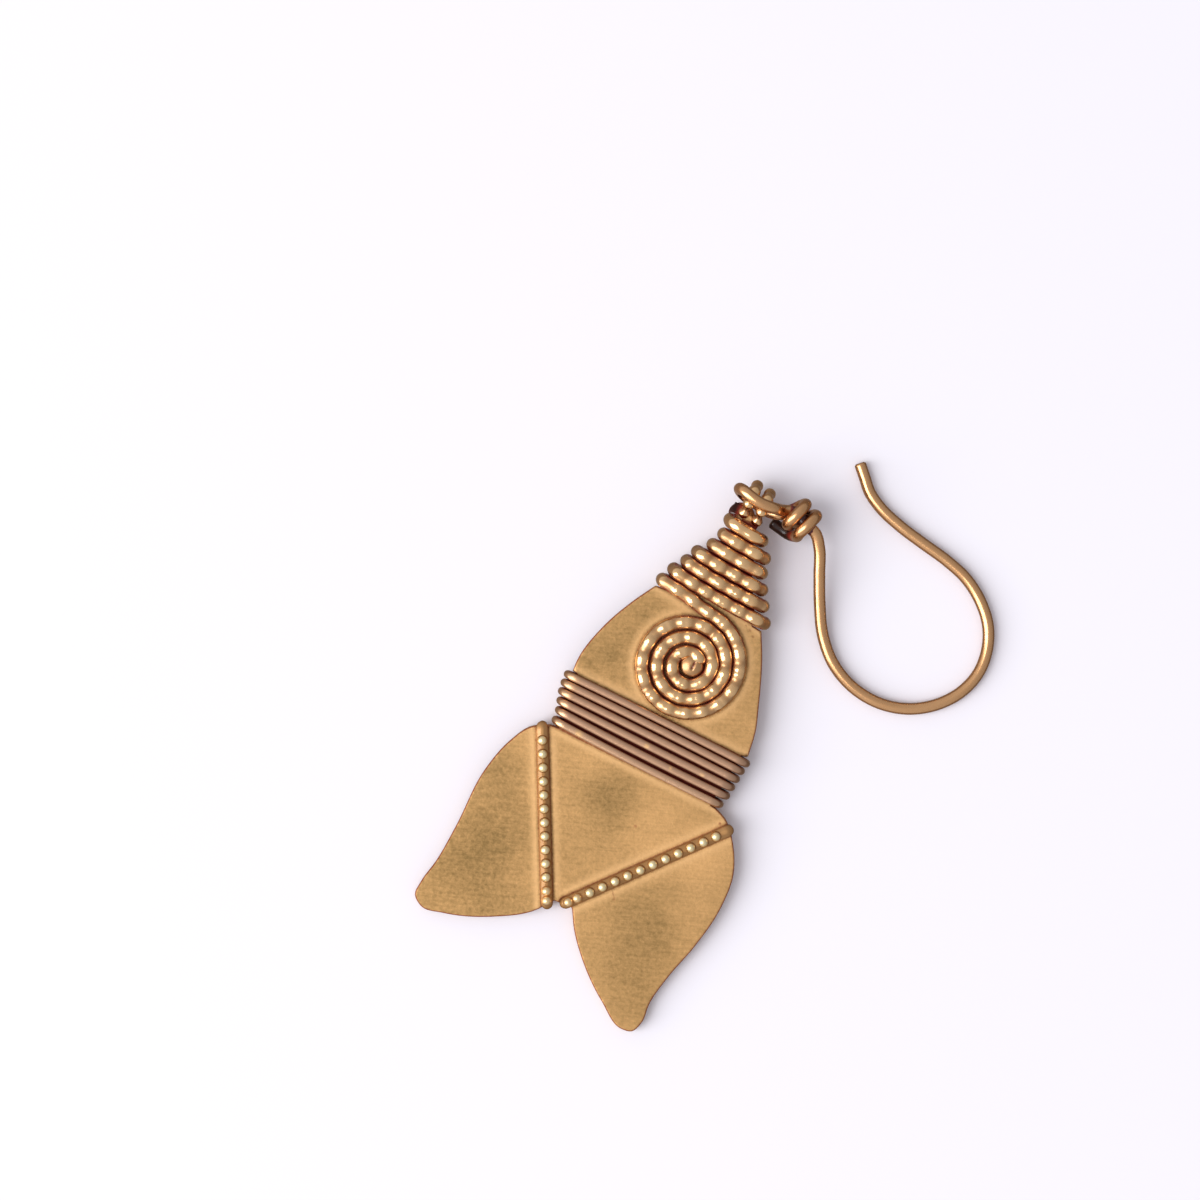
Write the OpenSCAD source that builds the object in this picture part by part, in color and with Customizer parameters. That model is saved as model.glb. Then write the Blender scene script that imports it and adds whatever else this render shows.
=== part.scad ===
// A fish-shaped brass earring: a flat plate with a beaded wire wound round its nose and
// coiled into an eye, a plain wire round its waist, a V of beaded bars on its tail, and an
// ear hook that is looped through a double bail. It lies on its back.
//
// x runs across the fish, y from the tail to the nose, and z up. Lengths are millimetres.
// The tables use the fish's own frame, whose origin is the middle of the waist.

/* [Fish plate] */
// Thickness of the plate
plate_t = 0.9; // [0.8:0.05:1]

/* [Bail] */
// Diameter of the bail's wire
bail_wire = 0.85; // [0.75:0.05:0.85]
// Outside diameter of a bail ring
bail_d = 3; // [2.95:0.05:3.1]

/* [Wound wires] */
// Diameter of the plain wire round the waist
waist_wire_d = 0.58; // [0.5:0.02:0.58]
// Diameter of the beaded wire round the nose, across a bead
nose_wire_d = 0.95; // [0.85:0.01:0.96]
// Length of one bead of that wire
bead_len = 1.3; // [1.2:0.05:1.6]
// How much less its radius is between two beads
bead_dip = 0.08; // [0.02:0.01:0.12]
// How far apart the turns of the eye are
eye_pitch = 1; // [0.98:0.01:1.02]

/* [Tail bars] */
// Diameter of a bead on the tail bars
bar_bead_d = 0.88; // [0.76:0.02:0.9]
// Diameter of the rod through these beads
bar_rod_d = 0.66; // [0.5:0.02:0.7]
// Number of beads on a bar, with the two at its ends
bar_beads = 14; // [12:1:14]

/* [Ear hook] */
// Diameter of the ear wire
hook_wire_d = 0.83; // [0.79:0.02:0.85]
// Length of the straight tip that goes through the ear
tip_len = 2; // [1.6:0.1:2.2]

/* [Hidden] */

brass = "#c89a5f";
oxide_brass = "#a9855c";
copper_brass = "#c08a52";
$fn = 48;

// Gap between a wire and what it is wound on or laid on
gap = 0.03;
half_t = plate_t / 2;

// Sides of the swept wires
wire_sides = 8;
hook_sides = 12;
// Rings of the beaded wire to one bead
rings_per_bead = 3;

// Turns of the waist wire, from the nose's side to the tail's
// [outer side of the left bend, its y, y at the middle, outer side of the right bend, its y]
waist_turns = [
    [-7.40, 2.02, 2.05, 7.15, 1.95],
    [-7.35, 1.40, 1.42, 7.05, 1.31],
    [-7.25, 0.78, 0.76, 7.00, 0.66],
    [-7.05, 0.14, 0.05, 6.95, 0.00],
    [-6.85, -0.50, -0.68, 6.90, -0.69],
    [-6.75, -1.22, -1.40, 6.75, -1.42],
];

// Turns of the beaded wire, from the nose's tip down, with the same columns
nose_turns = [
    [-2.20, 16.75, 16.47, 1.40, 16.40],
    [-2.15, 15.65, 15.46, 2.10, 15.36],
    [-2.50, 14.65, 14.47, 2.40, 14.35],
    [-3.25, 13.72, 13.45, 2.90, 13.32],
    [-3.65, 12.82, 12.43, 3.50, 12.33],
    [-4.20, 11.90, 11.42, 4.10, 11.30],
];
// The seventh left bend, and the way from there to the top of the eye
last_bend = [-4.60, 10.92];
eye_lead = [[-2.0, 10.64], [-1.0, 10.40]];

// The eye: a spiral that starts above its centre and runs inwards, clockwise
eye_centre = [0.05, 6.40];
// Where the centre of the innermost turn lies
eye_heart = [0.25, 6.42];
eye_r = 3.60;
eye_turns = 3.05;
// Turn at which the wire has come round to the spiral from the last bend
eye_start = -0.25;

// Plate outline, clockwise: [x, y] down the right side, round both lobes of the tail,
// and up the left side
right_side = [[3.70, 10.70], [4.55, 9.10], [5.25, 7.50], [5.90, 5.80], [6.42, 4.35], [6.75, 2.40]];
right_lobe = [
    [6.30, -1.78], [7.30, -2.20], [8.60, -3.60], [9.50, -5.40], [9.75, -8.00], [9.30, -11.20],
    [8.60, -13.90], [8.26, -16.20], [8.36, -17.60], [8.00, -18.46], [7.30, -18.62],
    [5.20, -17.50], [2.60, -15.40], [1.20, -13.80], [0.40, -12.50],
];
left_lobe = [
    [-0.95, -12.62], [-1.80, -13.80], [-4.20, -15.50], [-7.50, -16.85], [-9.10, -17.12],
    [-9.88, -16.55], [-9.90, -15.60], [-9.60, -13.90], [-9.42, -11.00], [-9.35, -6.50],
    [-8.70, -4.00], [-7.80, -2.40], [-6.75, -1.72],
];
left_side = [[-6.90, 2.40], [-6.95, 3.20], [-6.40, 6.00], [-5.30, 8.60], [-4.35, 10.30]];
// End of the nose, left to right, with the stub of solder beside the left ring
nose_end = [
    [-2.06, 17.30], [-1.92, 18.02], [-1.28, 18.02], [-0.90, 17.85], [-0.55, 17.62], [0.30, 17.55],
];
// Steps of the smooth outline between two of its points
outline_steps = 4;

// Straight at either end of a winding's bend, how far the plate's edge reaches into the bend,
// and the bend's reach sideways as a share of its half height
bend_lead = 0.3;
edge_hug = 0.05;
bend_share = 0.83;

// Bail rings: [x, y] of their centres
bail_rings = [[-1.07, 18.60], [-0.03, 18.47]];
bail_r = (bail_d - bail_wire) / 2;

// Tail bars: [x, y] of the end at the outer edge and of the end at the notch
left_bar = [[-7.10, -2.00], [-1.28, -13.03]];
right_bar = [[7.80, -2.76], [-0.20, -12.42]];

// Ear hook, from the straight tip round the arch to its windings: [x, y, height of the axis]
tip_at = [4.80, 24.28];
tip_turn = -45;
// Length of the bevel at its end, and how far the tip reaches into the swept wire
tip_round = 0.12;
tip_root = 0.2;
// Height of the wire's axis where it lies on the floor, a hair above it
floor_z = hook_wire_d / 2 / cos(180 / hook_sides) + 0.005;
tip_end = tip_at + tip_len * [cos(tip_turn), sin(tip_turn)];
hook_arch = [
    [tip_end[0], tip_end[1], floor_z], [7.40, 22.20, floor_z], [9.20, 21.65, floor_z],
    [11.20, 21.27, floor_z], [13.20, 20.93, floor_z], [15.00, 20.40, floor_z],
    [16.60, 19.42, floor_z], [17.85, 18.10, floor_z], [18.55, 16.50, floor_z],
    [18.70, 14.80, floor_z], [18.20, 13.10, floor_z], [17.10, 11.60, floor_z],
    [15.50, 10.45, floor_z], [13.40, 9.86, floor_z], [11.20, 10.05, floor_z],
    [9.30, 10.90, 0.48], [7.75, 12.35, 0.66], [6.55, 14.20, 1.08],
    [5.52, 16.15, 1.62], [4.74, 17.66, 2.05], [4.00, 18.48, 2.32],
];
// The shank from there on, to the eye; the wire's end is wound round it
wrap_from = [3.12, 18.74, 2.44];
wrap_to = [2.06, 19.15, 2.46];
// Over the bail, round its left side and back through both rings: [x, y, height above the
// middle of the rings]
hook_eye = [
    [1.22, 18.87, 0.98], [0.56, 18.70, 1.80], [-0.30, 18.60, 2.03], [-1.20, 18.72, 2.02],
    [-1.78, 18.88, 1.82], [-2.08, 18.92, 1.30], [-2.08, 18.88, 0.70], [-1.78, 18.74, 0.22],
    [-1.20, 18.60, 0.02], [-0.30, 18.50, -0.06], [0.42, 18.40, -0.10],
];
// Radius at which the end is wound round the shank
wrap_r = hook_wire_d + 0.12;
// [angle turned since the low side, distance along the shank from its first point]
wrap_steps = [[40, 1.62], [120, 1.18], [180, 1.02], [360, 0.87], [540, -0.06], [720, -0.16]];
// The cut end, tucked back under the windings
hook_end = [[2.86, 17.70, -0.14], [2.38, 17.64, -0.64], [1.68, 17.76, -0.74], [0.95, 17.88, -0.70]];

// Heights on the lying fish: the tail's tips and the last turn of the waist wire touch z = 0
tail_reach = -min([for (p = right_lobe) p[1]]);
waist_reach = -last(waist_turns)[4];
tilt = atan((waist_wire_d + gap) / (tail_reach - waist_reach));
waist_z = (half_t + gap + waist_wire_d) * cos(tilt) + waist_reach * sin(tilt);

// The part's origin is under the middle of its box
box_left = -9.95;
box_right = 19.12;
box_low = -18.61;
box_high = 24.57;
box_mid = [(box_left + box_right) / 2, (box_low + box_high) / 2];

function last(p) = p[len(p) - 1];
function unit(v) = v / norm(v);
function flat(p, z) = [for (q = p) [q[0], q[1], z]];
function reversed(p) = [for (i = [len(p) - 1 : -1 : 0]) p[i]];

// Height of the plate's middle over the floor, and of a point h above it
function level(y, h = 0) = waist_z + y * sin(tilt) + h;

// Slope of a smooth curve at its point i, for a curve measured by its chords
function slope(p, i) =
    i == 0 ? unit(p[1] - p[0]) :
    i == len(p) - 1 ? unit(p[i] - p[i - 1]) :
    let (before = norm(p[i] - p[i - 1]), after = norm(p[i + 1] - p[i]))
    (unit(p[i] - p[i - 1]) * after + unit(p[i + 1] - p[i]) * before) / (before + after);

// A point of the curve at the fraction t of the way from p[i] to p[i + 1]
function between(p, i, t) =
    let (chord = norm(p[i + 1] - p[i]))
    p[i] * (1 + 2 * t) * (1 - t) * (1 - t) + slope(p, i) * chord * t * (1 - t) * (1 - t)
    + p[i + 1] * t * t * (3 - 2 * t) + slope(p, i + 1) * chord * t * t * (t - 1);

// The smooth curve through p, with n steps from each point to the next
function smooth(p, n) = [
    for (i = [0 : len(p) - 2], k = [0 : n - 1]) between(p, i, k / n),
    last(p)
];

// How far along the route each point lies
function reaches(p) = [
    for (i = 0, s = 0; i < len(p); s = s + (i + 1 < len(p) ? norm(p[i + 1] - p[i]) : 0), i = i + 1) s
];

// The same route with n equal steps
function evenly(p, n) =
    let (s = reaches(p), total = last(s))
    [
        for (k = [0 : n])
        [for (axis = [0 : 2]) lookup(total * k / n, [for (i = [0 : len(p) - 1]) [s[i], p[i][axis]]])]
    ];

// Direction of the route at each point
function headings(p) = [
    for (i = [0 : len(p) - 1]) unit(p[min(i + 1, len(p) - 1)] - p[max(i - 1, 0)])
];

// A vector square to each heading, carried along the route without twist
function carried(h, first) = [
    for (i = 0, v = unit(first - (first * h[0]) * h[0]); i < len(h);
         v = i + 1 < len(h) ? unit(v - (v * h[i + 1]) * h[i + 1]) : v, i = i + 1) v
];

// A wire along the route p, with a radius r[i] at each point and flat ends
module sweep(p, r, sides) {
    h = headings(p);
    v = carried(h, abs(h[0][2]) < 0.7 ? [0, 0, 1] : [1, 0, 0]);
    end = (len(p) - 1) * sides;
    points = [
        for (i = [0 : len(p) - 1], k = [0 : sides - 1])
        let (a = 360 * (k + 0.5) / sides)
        p[i] + r[i] * (cos(a) * v[i] + sin(a) * cross(h[i], v[i]))
    ];
    walls = [
        for (i = [0 : len(p) - 2], k = [0 : sides - 1])
        let (a = i * sides + k, b = i * sides + (k + 1) % sides)
        each [[a, a + sides, b + sides], [a, b + sides, b]]
    ];
    polyhedron(points, concat(walls, [[for (k = [0 : sides - 1]) k]],
                              [[for (k = [sides - 1 : -1 : 0]) end + k]]));
}

// How far a winding's bend reaches sideways, and how far its outer side lies outside the plate
function bend_reach(wire_d) = bend_share * (half_t + gap + wire_d / 2);
function plate_inset(wire_d) = bend_reach(wire_d) + wire_d / 2 - edge_hug;

// A bend round the plate's edge: on the left (side -1) it comes up from the back,
// on the right (side 1) it goes down to it. It starts and ends with a short straight.
function bend(side, outer, y, wire_d) =
    let (
        rise = half_t + gap + wire_d / 2,
        reach = bend_reach(wire_d),
        mid = outer - side * (reach + wire_d / 2)
    )
    concat(
        [[mid - side * bend_lead, y, side * rise]],
        [for (a = [-90 : 30 : 90]) [mid + side * reach * cos(a), y, -side * rise * sin(a)]],
        [[mid - side * bend_lead, y, -side * rise]]
    );

// Route of a winding: up its left bend, across the front, and down its right bend, turn by turn
function winding(turns, wire_d) = [
    for (t = turns)
    each concat(
        bend(-1, t[0], t[1], wire_d),
        [[(t[0] + t[3]) / 2, t[2], half_t + gap + wire_d / 2]],
        bend(1, t[3], t[4], wire_d)
    )
];

// The plate's edge under bends at the points ends, from above the first to below the last
function wound_edge(ends, wire_d) =
    let (
        room = [0, wire_d / 2 + gap],
        edge = [for (e = ends) [e[0] - sign(e[0]) * plate_inset(wire_d), e[1]]]
    )
    concat([edge[0] + room], edge, [last(edge) - room]);

// Outer sides of a winding's left and right bends
function left_ends(turns) = [for (t = turns) [t[0], t[1]]];
function right_ends(turns) = [for (t = turns) [t[3], t[4]]];

function eye_point(t) =
    let (share = max(0, t) / eye_turns, centre = eye_centre + (eye_heart - eye_centre) * share * share)
    centre + (eye_r - eye_pitch * t) * [cos(-360 * t), sin(-360 * t)];

outline = concat(
    smooth(right_side, outline_steps),
    wound_edge(right_ends(waist_turns), waist_wire_d),
    smooth(right_lobe, outline_steps),
    smooth(left_lobe, outline_steps),
    reversed(wound_edge(left_ends(waist_turns), waist_wire_d)),
    smooth(left_side, outline_steps),
    reversed(wound_edge(concat(left_ends(nose_turns), [last_bend]), nose_wire_d)),
    nose_end,
    wound_edge(right_ends(nose_turns), nose_wire_d)
);

// Sets a piece down on the floor in the part's frame
module placed() {
    translate([-box_mid[0], -box_mid[1], 0]) children();
}

// The same for what lies in the plate's plane, with the plate's middle at height 0
module on_fish() {
    placed() translate([0, 0, waist_z]) rotate([tilt, 0, 0]) children();
}

// Room in the plate's edge for the bent ends of a tail bar
module bar_ends(bar) {
    for (end = bar)
        translate([end[0], end[1], -plate_t]) cylinder(h = 2 * plate_t, d = bar_rod_d + 2 * gap);
}

module bail_ring(centre) {
    translate([centre[0], centre[1], 0]) rotate([0, 90, 0])
        rotate_extrude() translate([bail_r, 0]) circle(d = bail_wire, $fn = 32);
}

module fish_body() {
    color(brass) on_fish() {
        difference() {
            linear_extrude(height = plate_t, center = true) polygon(outline);
            bar_ends(left_bar);
            bar_ends(right_bar);
        }
        for (ring = bail_rings)
            bail_ring(ring);
    }
}

module waist_wire() {
    rise = half_t + gap + waist_wire_d / 2;
    turns = winding(waist_turns, waist_wire_d);
    route = concat([[0, waist_turns[0][1], -rise]], turns, [[0, last(waist_turns)[4], -rise]]);
    color(oxide_brass) on_fish()
        sweep(route, [for (p = route) waist_wire_d / 2], wire_sides);
}

module beaded_wire() {
    rise = half_t + gap + nose_wire_d / 2;
    turns = winding(nose_turns, nose_wire_d);
    eye = [for (t = [eye_start : 1 / 24 : eye_turns]) eye_point(t)];
    route = concat(
        [[0, nose_turns[0][1], -rise]],
        turns,
        bend(-1, last_bend[0], last_bend[1], nose_wire_d),
        flat(eye_lead, rise),
        flat(eye, rise)
    );
    fine = smooth(route, 3);
    rings = round(last(reaches(fine)) / bead_len * rings_per_bead);
    radii = [for (k = [0 : rings]) nose_wire_d / 2 - bead_dip * (1 - cos(360 * k / rings_per_bead)) / 2];
    color(brass) on_fish() sweep(evenly(fine, rings), radii, wire_sides);
}

// A row of beads on a rod that lies on the plate, with ends bent down over its edge
module tail_bar(bar) {
    lift = half_t + gap + bar_bead_d / 2;
    run = bar[1] - bar[0];
    length = norm(run);
    color(brass) on_fish() translate([bar[0][0], bar[0][1], lift]) rotate([0, 0, atan2(run[1], run[0])]) {
        rotate([0, 90, 0]) rotate_extrude() intersection() {
            translate([0, -bar_bead_d]) square([bar_bead_d, length + 2 * bar_bead_d]);
            union() {
                square([bar_rod_d / 2, length]);
                for (i = [0 : bar_beads - 1])
                    translate([0, length * i / (bar_beads - 1)]) circle(d = bar_bead_d);
            }
        }
        for (x = [0, length])
            translate([x, 0, -lift - half_t]) cylinder(h = lift + half_t, d = bar_rod_d);
    }
}

module tail_bar_left() {
    tail_bar(left_bar);
}

module tail_bar_right() {
    tail_bar(right_bar);
}

// A point of the windings after a turn of a degrees, from the shank's low side under its back
function wrap_point(a) =
    let (
        along = unit(wrap_to - wrap_from),
        low = unit(cross([0, 0, 1], along)),
        up = cross(along, low)
    )
    wrap_from + along * lookup(a, wrap_steps) + wrap_r * (cos(a) * low - sin(a) * up);

// The same points with their heights over the floor
function from_rings(p) = [for (q = p) [q[0], q[1], level(bail_rings[0][1], q[2])]];

module ear_hook() {
    wraps = [for (a = [40 : 34 : 720]) wrap_point(a)];
    route = concat(hook_arch, [wrap_from, wrap_to], from_rings(hook_eye), wraps, from_rings(hook_end));
    bent = smooth(route, 2);
    color(copper_brass) placed() {
        sweep(bent, [for (p = bent) hook_wire_d / 2 / cos(180 / hook_sides)], hook_sides);
        translate([tip_end[0], tip_end[1], floor_z]) rotate([0, 90, tip_turn + 180]) {
            translate([0, 0, -tip_root]) cylinder(h = tip_len + tip_root, d = hook_wire_d);
            translate([0, 0, tip_len]) cylinder(h = tip_round, d1 = hook_wire_d, d2 = hook_wire_d - 2 * tip_round);
        }
    }
}

fish_body();
waist_wire();
beaded_wire();
tail_bar_left();
tail_bar_right();
ear_hook();
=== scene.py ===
"""The looks of a fish-shaped brass earring: a satin plate wound with wires, lying on a pale table.

The pieces follow the same tables as the CAD source, in its fish frame: x across the fish,
y from the tail to the nose, z up from the plate's middle, in millimetres. Blender's metres
in the row frame come last, in on_fish() and on_floor().
"""

import math

import bpy
import numpy as np
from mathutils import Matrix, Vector
from mathutils.geometry import delaunay_2d_cdt


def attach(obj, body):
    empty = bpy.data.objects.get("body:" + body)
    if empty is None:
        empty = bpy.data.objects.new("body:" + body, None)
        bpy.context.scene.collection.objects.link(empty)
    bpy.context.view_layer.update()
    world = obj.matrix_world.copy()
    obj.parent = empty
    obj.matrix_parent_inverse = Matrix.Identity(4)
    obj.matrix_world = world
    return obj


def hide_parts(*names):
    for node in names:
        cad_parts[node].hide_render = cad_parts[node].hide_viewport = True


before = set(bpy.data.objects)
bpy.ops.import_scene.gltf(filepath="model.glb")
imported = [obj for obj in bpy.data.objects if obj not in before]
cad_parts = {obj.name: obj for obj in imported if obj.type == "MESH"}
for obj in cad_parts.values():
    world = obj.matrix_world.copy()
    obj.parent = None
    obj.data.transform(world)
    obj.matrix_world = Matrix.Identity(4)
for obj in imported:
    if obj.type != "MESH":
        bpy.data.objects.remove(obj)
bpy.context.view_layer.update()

# Sizes, as in the CAD source
MM = 0.001
PLATE_T = 0.9
HALF_T = PLATE_T / 2
# Gap between a wire and what it is wound on or laid on
GAP = 0.03
BAIL_WIRE = 0.85
BAIL_D = 3.0
BAIL_R = (BAIL_D - BAIL_WIRE) / 2
WAIST_WIRE = 0.58
NOSE_WIRE = 0.95
BEAD_LEN = 1.3
BAR_BEAD = 0.88
BAR_ROD = 0.66
BAR_BEADS = 14
HOOK_WIRE = 0.83
TIP_LEN = 2.0

# [outer side of the left bend, its y, y at the middle, outer side of the right bend, its y]
WAIST_TURNS = [
    (-7.40, 2.02, 2.05, 7.15, 1.95),
    (-7.35, 1.40, 1.42, 7.05, 1.31),
    (-7.25, 0.78, 0.76, 7.00, 0.66),
    (-7.05, 0.14, 0.05, 6.95, 0.00),
    (-6.85, -0.50, -0.68, 6.90, -0.69),
    (-6.75, -1.22, -1.40, 6.75, -1.42),
]
NOSE_TURNS = [
    (-2.20, 16.75, 16.47, 1.40, 16.40),
    (-2.15, 15.65, 15.46, 2.10, 15.36),
    (-2.50, 14.65, 14.47, 2.40, 14.35),
    (-3.25, 13.72, 13.45, 2.90, 13.32),
    (-3.65, 12.82, 12.43, 3.50, 12.33),
    (-4.20, 11.90, 11.42, 4.10, 11.30),
]
LAST_BEND = (-4.60, 10.92)
EYE_LEAD = [(-2.0, 10.64), (-1.0, 10.40)]
EYE_CENTRE = np.array([0.05, 6.40])
EYE_HEART = np.array([0.25, 6.42])
EYE_R = 3.60
EYE_PITCH = 1.0
EYE_TURNS = 3.05
EYE_START = -0.25
# The wire's flattened end in the middle of the eye, and the turns before it
HEART = (0.38, 6.45)
HEART_R = 0.86
HEART_TURNS = 2.92

RIGHT_SIDE = [(3.70, 10.70), (4.55, 9.10), (5.25, 7.50), (5.90, 5.80), (6.42, 4.35), (6.75, 2.40)]
RIGHT_LOBE = [
    (6.30, -1.78), (7.30, -2.20), (8.60, -3.60), (9.50, -5.40), (9.75, -8.00), (9.30, -11.20),
    (8.60, -13.90), (8.26, -16.20), (8.36, -17.60), (8.00, -18.46), (7.30, -18.62),
    (5.20, -17.50), (2.60, -15.40), (1.20, -13.80), (0.40, -12.50),
]
LEFT_LOBE = [
    (-0.95, -12.62), (-1.80, -13.80), (-4.20, -15.50), (-7.50, -16.85), (-9.10, -17.12),
    (-9.88, -16.55), (-9.90, -15.60), (-9.60, -13.90), (-9.42, -11.00), (-9.35, -6.50),
    (-8.70, -4.00), (-7.80, -2.40), (-6.75, -1.72),
]
LEFT_SIDE = [(-6.90, 2.40), (-6.95, 3.20), (-6.40, 6.00), (-5.30, 8.60), (-4.35, 10.30)]
NOSE_END = [
    (-2.06, 17.30), (-1.92, 18.02), (-1.28, 18.02), (-0.90, 17.85), (-0.55, 17.62), (0.30, 17.55),
]
# The straight at each end of a bend, how far past a bend's middle the plate's edge stands, and
# how far sideways a bend reaches as a share of its height
BEND_LEAD = 0.3
EDGE_HUG = 0.05
BEND_SHARE = 0.83

BAIL_RINGS = [(-1.07, 18.60), (-0.03, 18.47)]
BAIL_BEADS = 7
BAIL_FIRST_BEAD = math.radians(106)
# Middle of the lump of solder, and its radii
SOLDER = (-1.16, 17.40)
SOLDER_R = (0.94, 0.84, 0.34)
LEFT_BAR = [(-7.10, -2.00), (-1.28, -13.03)]
RIGHT_BAR = [(7.80, -2.76), (-0.20, -12.42)]

TIP_AT = np.array([4.80, 24.28])
TIP_TURN = math.radians(-45)
# The source's hook has this many sides and lies this far over the floor
CAD_HOOK_SIDES = 12
FLOOR_GAP = 0.005
FLOOR_Z = HOOK_WIRE / 2 / math.cos(math.pi / CAD_HOOK_SIDES) + FLOOR_GAP
HOOK_LYING = [
    (7.40, 22.20), (9.20, 21.65), (11.20, 21.27), (13.20, 20.93), (15.00, 20.40), (16.60, 19.42),
    (17.85, 18.10), (18.55, 16.50), (18.70, 14.80), (18.20, 13.10), (17.10, 11.60), (15.50, 10.45),
    (13.40, 9.86), (11.20, 10.05),
]
HOOK_RISING = [
    (9.30, 10.90, 0.48), (7.75, 12.35, 0.66), (6.55, 14.20, 1.08), (5.52, 16.15, 1.62),
    (4.74, 17.66, 2.05), (4.00, 18.48, 2.32),
]
WRAP_FROM = np.array([3.12, 18.74, 2.44])
WRAP_TO = np.array([2.06, 19.15, 2.46])
HOOK_EYE = [
    (1.22, 18.87, 0.98), (0.56, 18.70, 1.80), (-0.30, 18.60, 2.03), (-1.20, 18.72, 2.02),
    (-1.78, 18.88, 1.82), (-2.08, 18.92, 1.30), (-2.08, 18.88, 0.70), (-1.78, 18.74, 0.22),
    (-1.20, 18.60, 0.02), (-0.30, 18.50, -0.06), (0.42, 18.40, -0.10),
]
WRAP_GAP = 0.12
WRAP_R = HOOK_WIRE + WRAP_GAP
# [angle turned, distance along the shank]
WRAP_STEPS = [(40, 1.62), (120, 1.18), (180, 1.02), (360, 0.87), (540, -0.06), (720, -0.16)]
HOOK_END = [(2.86, 17.70, -0.14), (2.38, 17.64, -0.64), (1.68, 17.76, -0.74), (0.95, 17.88, -0.70)]

# The fish rests on the waist wire and on the right lobe's tip
TAIL_REACH = -min(p[1] for p in RIGHT_LOBE)
WAIST_REACH = -WAIST_TURNS[-1][4]
TILT = math.atan((WAIST_WIRE + GAP) / (TAIL_REACH - WAIST_REACH))
WAIST_Z = (HALF_T + GAP + WAIST_WIRE) * math.cos(TILT) + WAIST_REACH * math.sin(TILT)
# The whole earring's ends across and along the fish
BOX_X = (-9.95, 19.12)
BOX_Y = (-18.61, 24.57)
BOX_MID = np.array([sum(BOX_X) / 2, sum(BOX_Y) / 2])

# How the photograph was taken
PHOTO_PX = 1200
PHOTO_MM_PER_PX = 0.07
# The fish's point in the photo's middle, and how far the photo is turned from the fish's x
PHOTO_CENTRE = (-7.38, 7.67)
PHOTO_TURN = math.radians(26.3)


# Curves
def unit(v):
    """The same way as v, or as each row of v, with length 1."""
    return v / np.linalg.norm(v, axis=-1, keepdims=True)


def smooth(points, steps):
    """A smooth curve through the points, measured by its chords, with steps between two."""
    p = np.array(points, float)
    chord = np.linalg.norm(np.diff(p, axis=0), axis=1)[:, None]
    way = np.diff(p, axis=0) / chord
    slope = np.empty_like(p)
    slope[0], slope[-1] = way[0], way[-1]
    before, after = chord[:-1], chord[1:]
    slope[1:-1] = (way[:-1] * after + way[1:] * before) / (before + after)
    t = (np.arange(steps) / steps)[None, :, None]
    a, b = p[:-1, None], p[1:, None]
    sa, sb = (slope[:-1] * chord)[:, None], (slope[1:] * chord)[:, None]
    curve = (a * (1 + 2 * t) * (1 - t) ** 2 + sa * t * (1 - t) ** 2
             + b * t * t * (3 - 2 * t) + sb * t * t * (t - 1))
    return np.vstack([curve.reshape(-1, p.shape[1]), p[-1:]])


def reaches(points):
    """How far along the route each point lies."""
    return np.concatenate([[0], np.cumsum(np.linalg.norm(np.diff(points, axis=0), axis=1))])


def evenly(points, spacing):
    """The same route with equal steps of about this length."""
    s = reaches(points)
    at = np.linspace(0, s[-1], max(2, round(s[-1] / spacing) + 1))
    return np.column_stack([np.interp(at, s, points[:, k]) for k in range(points.shape[1])])


def bend_reach(wire):
    """How far sideways the middle of a wire goes in its bend."""
    return BEND_SHARE * (HALF_T + GAP + wire / 2)


def bend(side, outer, y, wire):
    """A wire's bend round the plate's edge: up on the left (side -1), down on the right."""
    rise = HALF_T + GAP + wire / 2
    mid = outer - side * (bend_reach(wire) + wire / 2)
    arc = [(mid + side * bend_reach(wire) * math.cos(a), y, -side * rise * math.sin(a))
           for a in np.radians(range(-90, 91, 30))]
    lead = mid - side * BEND_LEAD
    return [(lead, y, side * rise), *arc, (lead, y, -side * rise)]


def winding(turns, wire):
    """Route of a wire wound round the plate, with each turn's front as a parabola."""
    rise = HALF_T + GAP + wire / 2
    route = []
    for left, left_y, mid_y, right, right_y in turns:
        middle = (left + right) / 2
        front = np.polyfit((left, middle, right), (left_y, mid_y, right_y), 2)
        turn = [*bend(-1, left, left_y, wire), (middle, mid_y, rise), *bend(1, right, right_y, wire)]
        route += [(x, np.polyval(front, x) if z > 0 else y, z) for x, y, z in turn]
    return route


def eye_point(t):
    """The middle of the wire after t clockwise turns of the eye, counted from its right side."""
    share = max(0, t) / EYE_TURNS
    centre = EYE_CENTRE + (EYE_HEART - EYE_CENTRE) * share**2
    a = -2 * math.pi * t
    return centre + (EYE_R - EYE_PITCH * t) * np.array([math.cos(a), math.sin(a)])


def wound_edge(ends, wire):
    """The plate's edge under a winding's bends."""
    room = np.array([0, wire / 2 + GAP])
    inset = bend_reach(wire) + wire / 2 - EDGE_HUG
    edge = [np.array([x - math.copysign(inset, x), y]) for x, y in ends]
    return [edge[0] + room, *edge, edge[-1] - room]


def plate_outline():
    """The plate's outline, clockwise."""
    steps = 12
    return np.vstack([
        smooth(RIGHT_SIDE, steps),
        wound_edge([t[3:] for t in WAIST_TURNS], WAIST_WIRE),
        smooth(RIGHT_LOBE, steps),
        smooth(LEFT_LOBE, steps),
        wound_edge([t[:2] for t in WAIST_TURNS], WAIST_WIRE)[::-1],
        smooth(LEFT_SIDE, steps),
        wound_edge([*(t[:2] for t in NOSE_TURNS), LAST_BEND], NOSE_WIRE)[::-1],
        NOSE_END,
        wound_edge([t[3:] for t in NOSE_TURNS], NOSE_WIRE),
    ])


# Meshes
def placed(name, data):
    """A new object in the scene."""
    made = bpy.data.objects.new(name, data)
    bpy.context.scene.collection.objects.link(made)
    return made


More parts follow.
